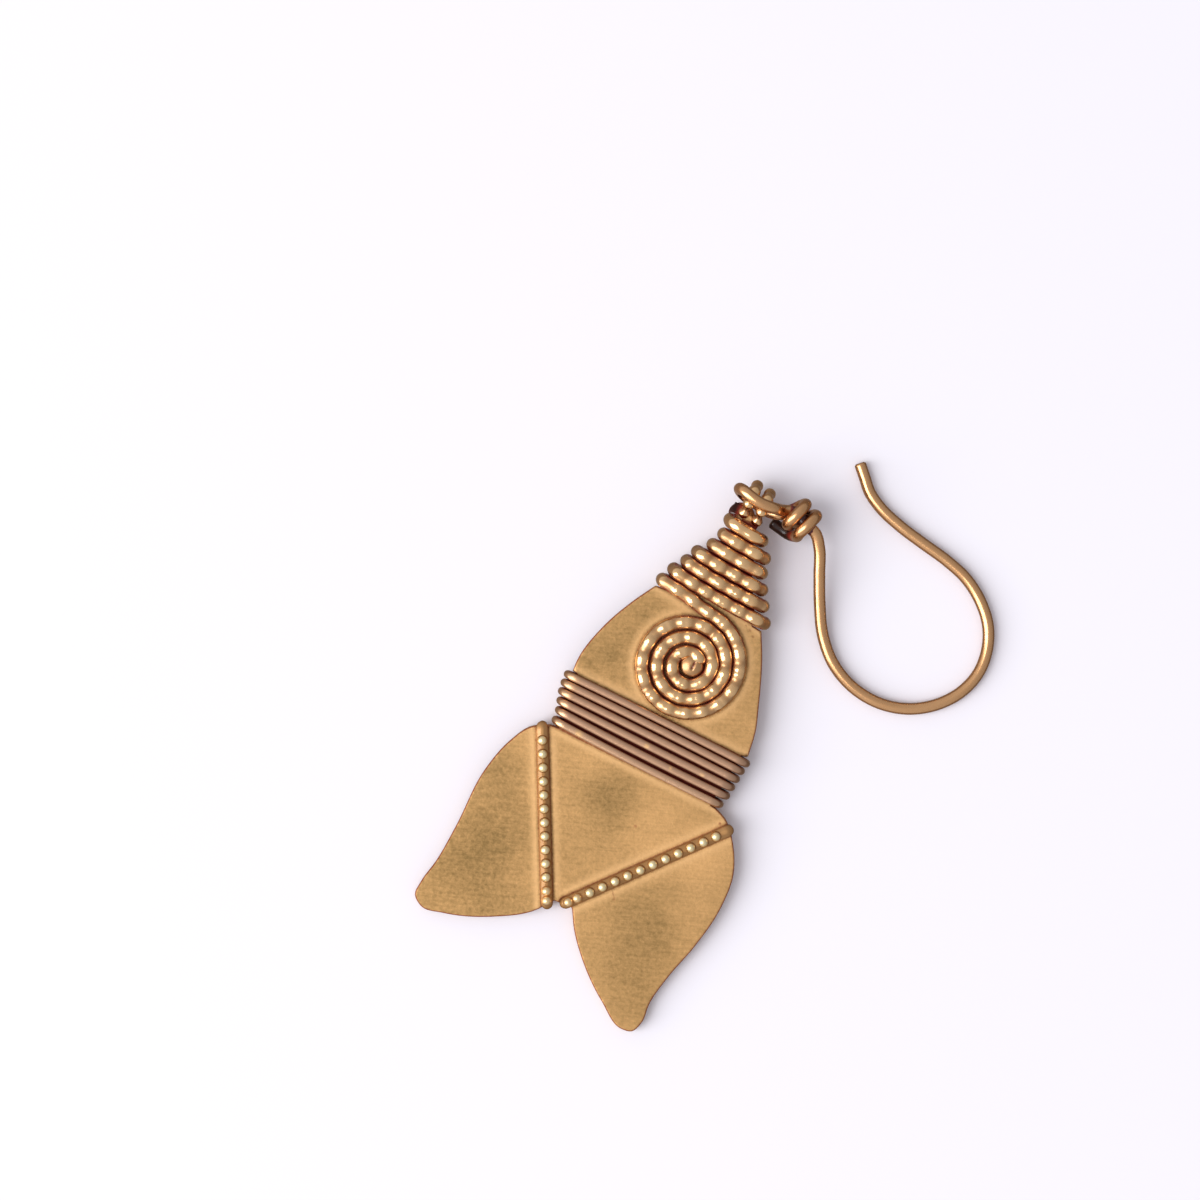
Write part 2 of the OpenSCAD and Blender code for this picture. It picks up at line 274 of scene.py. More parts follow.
def on_floor(v):
    """Fish-frame millimetres with heights over the floor, as row-frame metres."""
    return (v - [*BOX_MID, 0]) * MM


def on_fish(v):
    """The same for what lies in the plate's plane, with heights from its middle."""
    x, y, z = v.T
    c, s = math.cos(TILT), math.sin(TILT)
    return on_floor(np.column_stack([x, y * c - z * s, y * s + z * c + WAIST_Z]))


def add_mesh(name, verts, faces, material, slot, nodes, **values):
    """A piece with one value per vertex for each named attribute; it stands for CAD nodes."""
    mesh = bpy.data.meshes.new(name)
    mesh.from_pydata([tuple(v) for v in verts], [], faces)
    mesh.validate()
    for key, value in values.items():
        layer = mesh.attributes.new(key, "FLOAT", "POINT")
        layer.data.foreach_set("value", np.asarray(value, np.float32))
    mesh.polygons.foreach_set("use_smooth", [True] * len(mesh.polygons))
    mesh.materials.append(material)
    piece = placed(name, mesh)
    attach(piece, "root")
    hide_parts(*nodes)


def step(lo, hi, x):
    """0 up to lo, 1 from hi on, and a smooth rise between them."""
    t = np.clip((x - lo) / (hi - lo), 0, 1)
    return t * t * (3 - 2 * t)


def fade(lo, hi, x):
    """1 up to lo, 0 from hi on, and a smooth fall between them."""
    return 1 - step(lo, hi, x)


def spot(points, x, y, size):
    """1 at a place on the fish, fading out over about this size."""
    away = np.hypot(points[:, 0] - x, points[:, 1] - y) / size
    return np.exp(-away**2)


def distance_to(points, line):
    """Distance of each point to a chain of segments, on the flat or in space."""
    tiny = 1e-12
    best = np.full(len(points), np.inf)
    for a, b in zip(line[:-1], line[1:]):
        d = b - a
        t = np.clip(((points - a) @ d) / max(tiny, d @ d), 0, 1)
        best = np.minimum(best, np.linalg.norm(points - (a + t[:, None] * d), axis=1))
    return best


def quads(rings, sides, closed=False):
    """Faces between rings of vertices, with as many sides each, ring by ring."""
    faces = []
    for i in range(rings if closed else rings - 1):
        j = (i + 1) % rings
        for k in range(sides):
            m = (k + 1) % sides
            faces.append((i * sides + k, i * sides + m, j * sides + m, j * sides + k))
    return faces


# How far up or down the wire faces where its top dip begins, and where it is full
DIP_FACING = (0.1, 0.75)


def tube(points, radius, sides, round_ends=0.0, closed=False, top_dip=None, square=2):
    """Vertices, faces, and for each vertex its outward way.

    radius is one number or one for each point, and round_ends rounds off the cut ends.
    top_dip, one for each point, is taken off where the wire faces up or down alone.
    A square above 2 makes the round section fuller at its corners."""
    p = np.asarray(points, float)
    rings = len(p)
    r = np.broadcast_to(radius, rings).astype(float)
    if closed:
        ahead = np.roll(p, -1, 0) - np.roll(p, 1, 0)
    else:
        ahead = np.vstack([p[1:2] - p[:1], p[2:] - p[:-2], p[-1:] - p[-2:-1]])
    h = unit(ahead)
    v = np.empty_like(p)
    # A route that starts steeply has its first side along x, not z
    steep = 0.7
    start = np.array([0, 0, 1.0]) if abs(h[0][2]) < steep else np.array([1.0, 0, 0])
    v[0] = unit(start - (start @ h[0]) * h[0])
    for i in range(1, rings):
        v[i] = unit(v[i - 1] - (v[i - 1] @ h[i]) * h[i])
    w = np.cross(h, v)
    if round_ends:
        s = reaches(p)
        short = np.clip(1 - np.minimum(s, s[-1] - s) / round_ends, 0, 1)
        r -= round_ends * (1 - np.sqrt(1 - short**2))
    a = 2 * math.pi * (np.arange(sides) + 0.5) / sides
    out = np.cos(a)[None, :, None] * v[:, None] + np.sin(a)[None, :, None] * w[:, None]
    rise = np.abs(out[:, :, 2])
    level_part = np.sqrt(np.clip(1 - rise**2, 0, 1))
    r = r[:, None] * (rise**square + level_part**square) ** (-1 / square)
    if top_dip is not None:
        r -= top_dip[:, None] * step(*DIP_FACING, rise)
    verts = (p[:, None] + r[:, :, None] * out).reshape(-1, 3)
    faces = quads(rings, sides, closed)
    if not closed:
        faces.append(tuple(reversed(range(sides))))
        faces.append(tuple((rings - 1) * sides + k for k in range(sides)))
    return verts, faces, out.reshape(-1, 3)


def dome(centre, radii, around, up, fullness=1.0):
    """A half ellipsoid on a flat base: vertices, faces and each vertex's height share.

    A fullness below 1 makes its sides steeper and its top flatter."""
    climb = np.linspace(0, math.pi / 2, up, endpoint=False)
    rings = [(math.cos(t), math.sin(t) ** fullness) for t in climb]
    a = 2 * math.pi * np.arange(around) / around
    verts = [(centre[0] + radii[0] * c * math.cos(t), centre[1] + radii[1] * c * math.sin(t),
              centre[2] + radii[2] * s) for c, s in rings for t in a]
    verts.append((centre[0], centre[1], centre[2] + radii[2]))
    faces = [tuple(reversed(range(around))), *quads(up, around)]
    last = (up - 1) * around
    faces += [(last + k, last + (k + 1) % around, len(verts) - 1) for k in range(around)]
    share = np.append(np.repeat([s for _, s in rings], around), 1.0)
    return np.array(verts), faces, share


# Materials
def feed(tree, socket, value):
    """Links a socket to another one, or sets it to a number, vector or colour."""
    if isinstance(value, bpy.types.NodeSocket):
        tree.links.new(value, socket)
    else:
        socket.default_value = value


def node(tree, kind, **inputs):
    """A shader node whose inputs are fed by name, with _ for a space."""
    made = tree.nodes.new(kind)
    for key, value in inputs.items():
        feed(tree, made.inputs[key.replace("_", " ")], value)
    return made


def math_node(tree, operation, a, b, clamp=False):
    """The result of arithmetic on two sockets or numbers."""
    made = tree.nodes.new("ShaderNodeMath")
    made.operation = operation
    made.use_clamp = clamp
    feed(tree, made.inputs[0], a)
    feed(tree, made.inputs[1], b)
    return made.outputs[0]


def mix_colour(tree, factor, a, b):
    """The colour a where the factor is 0, and b where it is 1."""
    made = tree.nodes.new("ShaderNodeMix")
    made.data_type = "RGBA"
    # These are the sockets for colours
    for index, value in ((0, factor), (6, a), (7, b)):
        feed(tree, made.inputs[index], value)
    return made.outputs[2]


def spread(tree, value, low, high):
    """Stretches the range low to high to 0 to 1, clamped."""
    return node(tree, "ShaderNodeMapRange", Value=value, From_Min=low, From_Max=high).outputs[0]


def attribute(tree, name):
    """A value that the mesh holds for each vertex."""
    made = tree.nodes.new("ShaderNodeAttribute")
    made.attribute_name = name
    return made.outputs["Fac"]


def rgb(r, g, b):
    """A colour as seen on screen, its parts from 11 to 255, as the shader's linear numbers."""
    # This is the curve of sRGB above its darkest part
    return tuple(((c / 255 + 0.055) / 1.055) ** 2.4 for c in (r, g, b)) + (1.0,)


def noise(tree, where, scale_mm, detail, roughness):
    """Noise with features of about this many millimetres."""
    made = node(tree, "ShaderNodeTexNoise", Vector=where, Scale=1 / (scale_mm * MM),
                Detail=detail, Roughness=roughness)
    return made.outputs["Fac"]


def centred(tree, value, much):
    """A noise value as a change either way, much times its distance from the middle."""
    middle = 0.5
    return math_node(tree, "MULTIPLY", math_node(tree, "SUBTRACT", value, middle), much)


OXIDE = rgb(130, 42, 28)
# Near-black painted shade for gaps and crevices where shade falls
PAINTED_SHADE = rgb(44, 20, 14)
# A warm pale colour for painted glow and highlights, also on brighter bead tops
GLOW = rgb(250, 200, 140)
# The value at which the oxide and the painted shade each begin to show, and hide what is below
OXIDE_SHOWS = (0.2, 0.75)
SHADE_SHOWS = (1.0, 1.7)
# Dullness of brass that nothing changes, and how much each noise changes it
EVEN_DULL = 0.5
DRIFT_DULLS = 0.65
GRAIN_DULLS = 0.85
LINES_DULL = 0.4
GRAIN_CRUSTS = 0.35
GRAIN_ROUGHENS = 0.2
CRUST_ROUGHENS = 0.2


def aged_brass(name, bright, dull, roughness, patch_mm, grain_mm, bump_mm, lacquer=0.0,
               dull_rough=0.1, streak=None):
    """Metal whose colour drifts between bright and dull, with oxide and painted shade where the mesh says
    so.

    Higher values lay near-black painted shade over the oxide. lacquer is the weight of a clear coat,
    dull_rough how much rougher the dull metal is, and streak the turn, in radians, of faint brushed
    lines."""
    material = bpy.data.materials.new(name)
    material.use_nodes = True
    tree = material.node_tree
    shader = tree.nodes["Principled BSDF"]
    where = node(tree, "ShaderNodeTexCoord").outputs["Object"]
    grain = noise(tree, where, grain_mm, detail=4.0, roughness=0.62)
    drift = noise(tree, where, patch_mm, detail=5.0, roughness=0.62)
    dullness = math_node(tree, "ADD", centred(tree, drift, DRIFT_DULLS),
                         centred(tree, grain, GRAIN_DULLS))
    height = grain
    if streak is not None:
        turned = node(tree, "ShaderNodeMapping", Vector=where, Rotation=(0, 0, streak))
        drawn = node(tree, "ShaderNodeMapping", Vector=turned.outputs[0], Scale=(0.1, 1, 1))
        lines = noise(tree, drawn.outputs[0], scale_mm=0.2, detail=3.0, roughness=0.55)
        dullness = math_node(tree, "ADD", dullness, centred(tree, lines, LINES_DULL))
        height = math_node(tree, "ADD", grain, lines)
    dullness = math_node(tree, "ADD", dullness, EVEN_DULL)
    dullness = math_node(tree, "ADD", dullness, attribute(tree, "dull"), clamp=True)
    colour = mix_colour(tree, dullness, bright, dull)
    # The glow value lays that warm pale colour over the metal
    colour = mix_colour(tree, attribute(tree, "glow"), colour, GLOW)
    crust_and_shade = math_node(tree, "ADD", attribute(tree, "oxide"), centred(tree, grain, GRAIN_CRUSTS))
    covered = spread(tree, crust_and_shade, *OXIDE_SHOWS)
    colour = mix_colour(tree, covered, colour, OXIDE)
    # Past the oxide, the value paints near-black shade
    colour = mix_colour(tree, spread(tree, crust_and_shade, *SHADE_SHOWS), colour, PAINTED_SHADE)
    tree.links.new(colour, shader.inputs["Base Color"])
    # The oxide is a dull crust and not metal
    tree.links.new(math_node(tree, "SUBTRACT", 1.0, covered), shader.inputs["Metallic"])
    shader.inputs["Specular IOR Level"].default_value = 0.15
    shader.inputs["Coat Weight"].default_value = lacquer
    shader.inputs["Coat Roughness"].default_value = 0.13
    shader.inputs["Coat IOR"].default_value = 1.6
    rough = math_node(tree, "ADD", roughness, centred(tree, grain, GRAIN_ROUGHENS))
    rough = math_node(tree, "ADD", rough, math_node(tree, "MULTIPLY", dullness, dull_rough))
    crusted = math_node(tree, "MULTIPLY", crust_and_shade, CRUST_ROUGHENS)
    rough = math_node(tree, "ADD", rough, crusted, clamp=True)
    tree.links.new(rough, shader.inputs["Roughness"])
    bump = node(tree, "ShaderNodeBump", Height=height, Distance=bump_mm * MM, Strength=1.0)
    tree.links.new(bump.outputs[0], shader.inputs["Normal"])
    return material


plate_brass = aged_brass("plate_brass", rgb(240, 187, 125), rgb(142, 113, 70), roughness=0.38,
                         patch_mm=4.0, grain_mm=0.26, bump_mm=0.01, streak=-0.38)
waist_brass = aged_brass("waist_wire_brass", rgb(228, 184, 144), rgb(194, 152, 122), roughness=0.26,
                         patch_mm=3.0, grain_mm=0.25, bump_mm=0.004, lacquer=0.3)
bead_brass = aged_brass("beaded_wire_brass", rgb(242, 196, 140), rgb(196, 148, 98), roughness=0.15,
                        patch_mm=2.0, grain_mm=0.22, bump_mm=0.006, lacquer=0.75, dull_rough=0.25)
bar_brass = aged_brass("tail_bar_brass", rgb(255, 233, 182), rgb(178, 132, 80), roughness=0.40,
                       patch_mm=1.5, grain_mm=0.25, bump_mm=0.004, lacquer=0.4, dull_rough=0.2)
hook_brass = aged_brass("hook_brass", rgb(236, 182, 128), rgb(206, 152, 100), roughness=0.2,
                        patch_mm=3.0, grain_mm=0.28, bump_mm=0.004, lacquer=0.55)


# The plate
# Radius of its rounded edge, and the length of its outline's steps
EDGE_ROUND = 0.10
OUTLINE_STEP = 0.18
# Rows of points along the edge: how far in, and the share of that which a point keeps
EDGE_ROWS = (0.012, 0.035, 0.065, EDGE_ROUND, 0.17, 0.26)
ROW_KEPT = 0.97
# The grid of points within them, and how far in from the edge it stays
GRID_X = (-10, 10)
GRID_Y = (-18.7, 18.2)
GRID_INSET = 0.30
# Its spacings. It is fine in a band beside the wires and where marks are darker than a limit
FINE, COARSE = 0.1, 0.34
BAND_MIDDLE = 0.05
BAND_HALF = 0.28
MARK_LIMIT = 0.02
# Triangles are made inside the outline, and points nearer than this are one
INSIDE = 1
SAME_POINT = 1e-6
# Duller and brighter places of the plate: [x, y, size, how much duller]
PLATE_PATCHES = [
    (-0.6, -4.6, 2.2, 0.32), (0.6, -7.4, 1.6, 0.06), (-7.8, -9.6, 3.4, 0.27), (-7.0, -14.4, 3.6, 0.34),
    (-8.6, -5.5, 1.8, 0.22), (5.5, -12.4, 3.4, 0.22), (6.6, -16.6, 2.2, 0.18), (-5.6, 4.6, 2.0, 0.20),
    (-4.2, 8.2, 1.8, 0.25), (6.6, -5.0, 2.0, -0.38), (8.4, -8.0, 1.6, -0.15), (5.0, 5.2, 1.8, -0.08),
    (3.2, -3.4, 1.8, -0.08), (-4.9, -6.6, 1.5, -0.15), (1.6, -13.0, 1.6, -0.08), (-0.4, -10.6, 1.4, 0.08),
    (-2.8, -2.6, 1.2, -0.10), (3.4, -6.0, 1.5, -0.15),
]
# Dark pits and specks: [x, y, size, how dark]
PLATE_MARKS = [
    (1.85, -5.40, 0.14, 0.6), (2.95, 10.45, 0.16, 0.5), (3.30, 10.12, 0.14, 0.5), (2.55, 10.62, 0.1, 0.5),
    (-7.45, -2.10, 0.14, 0.7), (7.05, -2.62, 0.12, 0.7), (-6.1, -7.6, 0.5, 0.22),
]
# Short scratches: from, to
PLATE_SCRATCHES = [[(2.42, -10.15), (2.86, -10.75)], [(-7.1, -3.1), (-6.75, -2.2)]]
SCRATCH_W = 0.09
SCRATCH_DARK = 0.5
# Oxide at the very edge and on its rounding, and how far in the second begins and ends
EDGE_OXIDE = 0.25
ROUNDING_OXIDE = 0.65
ROUNDING_BEGINS = (0, 0.012)
ROUNDING_ENDS = (0.05, 0.13)
# Oxide at the nose's end, and the near-black painted shade at its left corner beside the bail
NOSE_OXIDE = 0.15
CORNER_SHADE = 1.55
NOSE_Y = (16.9, 17.2)
CORNER_X = (-1.7, -1.2)
# Oxide beside the wires and added under them, and how far from them each ends
BESIDE_OXIDE = 0.62
UNDER_OXIDE = 0.48
BESIDE_ENDS = (-0.02, 0.12)
UNDER_ENDS = (-0.3, -0.1)
# The band of painted glow beside that oxide
BAND_GLOW = 0.6
GLOW_BEGINS = (0.08, 0.24)
GLOW_ENDS = (0.2, 0.75)


def between(start, end, x):
    """The y at x of a wire that runs straight from start to end, each [x, y]."""
    (x0, y0), (x1, y1) = sorted([start, end])
    return np.interp(x, [x0, x1], [y0, y1])


def near_wires(flat, top):
    """How far each point of the plate's top or bottom is from the metal that lies on it."""
    x, y = flat.T
    waist_top, waist_low = WAIST_TURNS[0][1], WAIST_TURNS[-1][2]
    nose_end = NOSE_TURNS[-1][3:]
    if top:
        nose_low = between(NOSE_TURNS[-1][:2], nose_end, x)
    else:
        # The waist winding starts and ends behind the plate's middle
        waist_top = np.where(x < 0, waist_top, between(WAIST_TURNS[0][3:], WAIST_TURNS[1][:2], x))
        waist_low = np.where(x > 0, waist_low, between(WAIST_TURNS[-2][3:], WAIST_TURNS[-1][:2], x))
        nose_low = between(nose_end, LAST_BEND, x)
    waist = np.maximum(y - waist_top, waist_low - y) - WAIST_WIRE / 2
    nose = np.maximum(nose_low - y, y - NOSE_TURNS[0][1]) - NOSE_WIRE / 2
    near = np.minimum(waist, nose)
    if not top:
        return near
    turns = np.linspace(EYE_START, EYE_TURNS, num=90)
    eye = [LAST_BEND, *EYE_LEAD, *(eye_point(t) for t in turns)]
    near = np.minimum(near, distance_to(flat, np.array(eye)) - NOSE_WIRE / 2)
    for bar in (LEFT_BAR, RIGHT_BAR):
        near = np.minimum(near, distance_to(flat, np.array(bar)) - BAR_BEAD / 2)
    return near


def mark_values(flat):
    """How dark the pits, specks and scratches make each point of the top."""
    marks = np.zeros(len(flat))
    for x, y, size, dark in PLATE_MARKS:
        marks = np.maximum(marks, dark * spot(flat, x, y, size))
    for line in PLATE_SCRATCHES:
        away = distance_to(flat, np.array(line))
        marks = np.maximum(marks, SCRATCH_DARK * fade(0, SCRATCH_W, away))
    return marks


def plate_points(outline, ring):
    """Points over the plate, close together beside the edge, the wires and the marks."""
    ahead = unit(np.roll(outline, -1, 0) - np.roll(outline, 1, 0))
    inward = np.column_stack([ahead[:, 1], -ahead[:, 0]])
    rows = []
    for depth in EDGE_ROWS:
        row = outline + inward * depth
        rows.append(row[distance_to(row, ring) > ROW_KEPT * depth])
    for spacing in (FINE, COARSE):
        x, y = np.meshgrid(np.arange(*GRID_X, spacing), np.arange(*GRID_Y, spacing))
        grid = np.column_stack([x.ravel(), y.ravel()])
        in_band = np.abs(near_wires(grid, True) - BAND_MIDDLE) < BAND_HALF
        close = in_band | (mark_values(grid) > MARK_LIMIT)
        grid = grid[close if spacing == FINE else ~close]
        rows.append(grid[distance_to(grid, ring) > GRID_INSET])
    return rows


def filled(points, count):
    """Fills the outline of the first points with triangles that face up.

    Returns the points that they use, and the triangles."""
    border = [(i, (i + 1) % count) for i in range(count)]
    vectors = [Vector(p) for p in points]
    flat, _, tris, _, _, _ = delaunay_2d_cdt(vectors, border, [], INSIDE, SAME_POINT)
    used = sorted({i for t in tris for i in t})
    place = {old: new for new, old in enumerate(used)}
    flat = np.array([tuple(flat[i]) for i in used])
    faces = []
    for t in tris:
        t = tuple(place[i] for i in t)
        a, b, c = flat[list(t)]
        turn = (b[0] - a[0]) * (c[1] - a[1]) - (b[1] - a[1]) * (c[0] - a[0])
        faces.append(t if turn > 0 else t[::-1])
    return flat, faces


def plate():
    """The flat plate: a top and a bottom of the same points, and the wall between their edges."""
    outline = plate_outline()
    outline = evenly(np.vstack([outline, outline[:1]]), OUTLINE_STEP)[:-1]
    for centre in LEFT_BAR + RIGHT_BAR:
        outline = notch(outline, np.array(centre), BAR_ROD / 2 + GAP)
    ring = np.vstack([outline, outline[:1]])
    points = np.vstack([outline, *plate_points(outline, ring)])
    flat, top_faces = filled(points, len(outline))
    m = len(flat)
    rim = {(a, b) for t in top_faces for a, b in zip(t, t[1:] + t[:1])}
    faces = top_faces + [tuple(m + i for i in t[::-1]) for t in top_faces]
    faces += [(b, a, m + a, m + b) for a, b in sorted(rim) if (b, a) not in rim]
    deep = np.clip(distance_to(flat, ring), 0, EDGE_ROUND)
    z = HALF_T - EDGE_ROUND + np.sqrt(EDGE_ROUND**2 - (EDGE_ROUND - deep) ** 2)
    verts = np.vstack([np.column_stack([flat, z]), np.column_stack([flat, -z])])
    add_mesh("plate", on_fish(verts), faces, plate_brass, "plate_brass", ["fish_body"],
             **plate_values(flat, ring))


def notch(outline, centre, radius):
    """The outline with a round bite taken out at a point near its edge."""
    inside = np.linalg.norm(outline - centre, axis=1) < radius
    if not inside.any():
        return outline
    first = int(np.flatnonzero(inside & ~np.roll(inside, 1))[0])
    outline = np.roll(outline, -first, 0)
    count = int(np.argmin(np.roll(inside, -first)))
    before, after = outline[-1] - centre, outline[count] - centre
    a = math.atan2(before[1], before[0])
    b = math.atan2(after[1], after[0])
    # The outline runs clockwise, so the bite's arc runs the other way round
    while b < a:
        b += 2 * math.pi
    arc = [centre + radius * np.array([math.cos(t), math.sin(t)])
           for t in np.linspace(a, b, num=14)]
    return np.vstack([outline[count:], arc])


def plate_values(flat, ring):
    """Oxide and painted shade, painted glow, and dullness of the top, then of the bottom."""
    edge = distance_to(flat, ring)
    rim = EDGE_OXIDE + (ROUNDING_OXIDE - EDGE_OXIDE) * step(*ROUNDING_BEGINS, edge)
    rim -= ROUNDING_OXIDE * step(*ROUNDING_ENDS, edge)
    # The nose's left corner beside the bail is painted near-black, as shade
    nose = NOSE_OXIDE + CORNER_SHADE * fade(*CORNER_X, flat[:, 0])
    rim += (nose - rim) * step(*NOSE_Y, flat[:, 1])
    dull = sum(much * spot(flat, x, y, size) for x, y, size, much in PLATE_PATCHES)
    oxide, glow = [], []
    for top in (True, False):
        near = near_wires(flat, top)
        thick = BESIDE_OXIDE + UNDER_OXIDE * fade(*UNDER_ENDS, near)
        crust_and_shade = np.maximum(thick * fade(*BESIDE_ENDS, near), rim)
        if top:
            crust_and_shade = np.maximum(crust_and_shade, mark_values(flat))
        oxide.append(crust_and_shade)
        # A band of painted glow beside the wires
        glow.append(BAND_GLOW * fade(*GLOW_ENDS, near) * step(*GLOW_BEGINS, near))
    return {"oxide": np.concatenate(oxide), "glow": np.concatenate(glow),
            "dull": np.tile(dull, 2)}


# The wound wires
# How much more the necks' depth varies than their places, and how pinched they are
DEPTH_VARIES = 1.8
PINCH = 1.4
# Heights over the plate's middle between which the oxide beside a wire ends
OXIDE_HEIGHTS = (HALF_T + GAP, HALF_T + 0.2)
# How far a wire faces away from the plate where its painted shade ends and where its bead
# tops turn brighter, and how softly the oxide of its sides ends
SHADE_ENDS = (-0.05, 0.25)
BRIGHT_FACING = (0.6, 0.9)
SIDE_ENDS = 0.24
# How far a bend faces outward where its oxide ends, and sideways where it touches the next one
OUTER_FACING = (0.25, 0.6)
TOUCH_FACING = (0.87, 0.99)
# The eye's low and high ends, which have no such outer side
EYE_Y = (2.6, 10.4)
# Oxide of the sides, on the plate and in a bend, of where bends touch, and of a neck
SIDE_OXIDE = 0.95
BEND_OXIDE = 0.35
TOUCH_OXIDE = 0.9
NECK_OXIDE = 0.08
# Glow and dullness of a bead, and what a neck adds to its dullness
BEAD_GLOW = 0.4
BEAD_DULL = -0.5
NECK_DULL = 1.1


def beads(along, pitch, uneven, seed):
    """How deep into a neck each point of a beaded wire is, 0 to about 1, with uneven beads."""
    rng = np.random.default_rng(seed)
    count = int(along[-1] / (pitch * (1 - uneven))) + 2
    necks = np.concatenate([[0], np.cumsum(pitch * (1 + uneven * rng.uniform(-1, 1, count)))])
    depth = 1 + DEPTH_VARIES * uneven * rng.uniform(-1, 1, len(necks))
    k = np.clip(np.searchsorted(necks, along, side="right") - 1, 0, count - 1)
    f = np.clip((along - necks[k]) / (necks[k + 1] - necks[k]), 0, 1)
    nearer = np.where(f < 0.5, depth[k], depth[k + 1])
    return nearer * (0.5 + 0.5 * np.cos(2 * math.pi * f)) ** PINCH


def at_plate(verts):
    """1 where a wire meets the plate and 0 higher up its side."""
    return fade(*OXIDE_HEIGHTS, np.abs(verts[:, 2]))


def wound_values(verts, out, neck, top, depth_shade):
    """Oxide on the sides and the inner side of a wire on the plate, and a little in its necks.

    It reaches up to where the wire faces outward by top, and the last argument is the near-black painted
    shade that the depth adds."""
    x, y, z = verts.T
    outward = np.where(z >= 0, out[:, 2], -out[:, 2])
    sides = fade(top - SIDE_ENDS, top, outward)
    # Near-black painted shade where the wire faces the plate and the gaps beside it
    sides += depth_shade * fade(*SHADE_ENDS, outward)
    # A bend's outer side has no neighbour that holds the oxide
    on_eye = (y > EYE_Y[0]) & (y < EYE_Y[1])
    sides *= 1 - ~on_eye * step(*OUTER_FACING, out[:, 0] * np.sign(x))
    in_bend = np.maximum(BEND_OXIDE * sides, TOUCH_OXIDE * step(*TOUCH_FACING, np.abs(out[:, 1])))
    oxide = np.where(np.abs(z) < HALF_T + GAP, in_bend, SIDE_OXIDE * sides)
    return {"oxide": oxide + NECK_OXIDE * neck,
            "glow": BEAD_GLOW * (1 - np.clip(neck, 0, 1)) * step(*BRIGHT_FACING, outward),
            "dull": BEAD_DULL + NECK_DULL * neck}


# The waist winding
# Bright specks on the wire's top: [x, y, size]
WAIST_SPECKS = [(0.05, 0.02, 0.16), (4.4, -0.08, 0.12), (2.2, -0.62, 0.10), (-4.6, -1.3, 0.25)]
# Its dullness, how much less that is in the lowest turn, and the painted highlight on its left bends
WAIST_DULL = 0.6
LOWEST_BRIGHTER = 0.45
LOWEST_Y = (-1.2, -0.9)
LEFT_BEND_HIGHLIGHT = 0.28
LEFT_X = (-6.5, -5.8)


def waist_winding():
    """The plain wire round the waist, which starts and ends behind the plate's middle."""
    behind = -(HALF_T + GAP + WAIST_WIRE / 2)
    start, end = (0, WAIST_TURNS[0][1], behind), (0, WAIST_TURNS[-1][4], behind)
    route = smooth([start, *winding(WAIST_TURNS, WAIST_WIRE), end], steps=8)
    route = evenly(route, spacing=0.16)
    # Its fuller section makes up for a smaller radius
    thinner = 0.01
    verts, faces, out = tube(route, WAIST_WIRE / 2 - thinner, sides=24, round_ends=0.05, square=3.4)
    values = wound_values(verts, out, np.zeros(len(verts)), top=0.5, depth_shade=0.8)
    values["dull"] = WAIST_DULL - LOWEST_BRIGHTER * fade(*LOWEST_Y, verts[:, 1])
    # A painted highlight on the left bends
    values["glow"] = LEFT_BEND_HIGHLIGHT * fade(*LEFT_X, verts[:, 0])
    on_top = out[:, 2] > 0.5
    for x, y, size in WAIST_SPECKS:
        values["glow"] = np.maximum(values["glow"], spot(verts, x, y, size) * on_top)
    add_mesh("waist_winding", on_fish(verts), faces, waist_brass, "waist_wire_brass",
             ["waist_wire"], **values)


# The nose winding and the eye
# The share of its beads that the smooth start has, and how far along the wire that ends
START_BEADS = 0.15
START_ENDS = (8.0, 10.5)
# How uneven the beads and the ripples between them are
BEADS_UNEVEN = 0.14
RIPPLES_UNEVEN = 0.2
# What a neck takes off all round and on top, and a ripple on top
NECK_DIP = 0.03
NECK_TOP_DIP = 0.10
RIPPLE_TOP_DIP = 0.03
# The eye's outer side lies this far past the middle of its outermost turn, and below this y
OUTER_PAST = 0.05
OUTER_TOP_Y = 9.2
# Height of the flattened end
HEART_H = 0.88
# The slit in it: its middle from the end's, its width, where its length ends, and its depth
SLIT_AT = (0.08, 0.05)
SLIT_W = 0.07
SLIT_ENDS = (0.22, 0.34)
SLIT_DEPTH = 0.16
# Oxide of the slit and of the sides, dullness, and how much less that is on top
SLIT_OXIDE = 0.8
HEART_OXIDE_ENDS = (0.3, 0.55)
HEART_DULL = 0.9
HEART_BRIGHTER = 0.2


def eye_heart():
    """The wire's flattened end in the middle of the eye: vertices, faces and values."""
    verts, faces, share = dome((*HEART, HALF_T + GAP), (HEART_R, HEART_R, HEART_H),
                               around=48, up=14, fullness=0.5)
    slit = np.exp(-((verts[:, 0] - HEART[0] - SLIT_AT[0]) / SLIT_W) ** 2)
    slit *= fade(*SLIT_ENDS, np.abs(verts[:, 1] - HEART[1] - SLIT_AT[1]))
    verts[:, 2] -= SLIT_DEPTH * slit * share
    values = {"oxide": np.maximum(SLIT_OXIDE * slit, fade(*HEART_OXIDE_ENDS, share)),
              "glow": np.zeros(len(verts)), "dull": HEART_DULL - HEART_BRIGHTER * share}
    return verts, faces, values


def outside_eye(verts):
    """Whether each vertex is on the outer side of the eye's outermost turn."""
    from_eye = verts[:, :2] - EYE_CENTRE
    turned = -np.arctan2(from_eye[:, 1], from_eye[:, 0]) / (2 * math.pi)
    turned = (turned - EYE_START) % 1 + EYE_START
    past = np.linalg.norm(from_eye, axis=1) > EYE_R - EYE_PITCH * turned + OUTER_PAST
    return past & (verts[:, 1] < OUTER_TOP_Y) & (verts[:, 2] > 0)


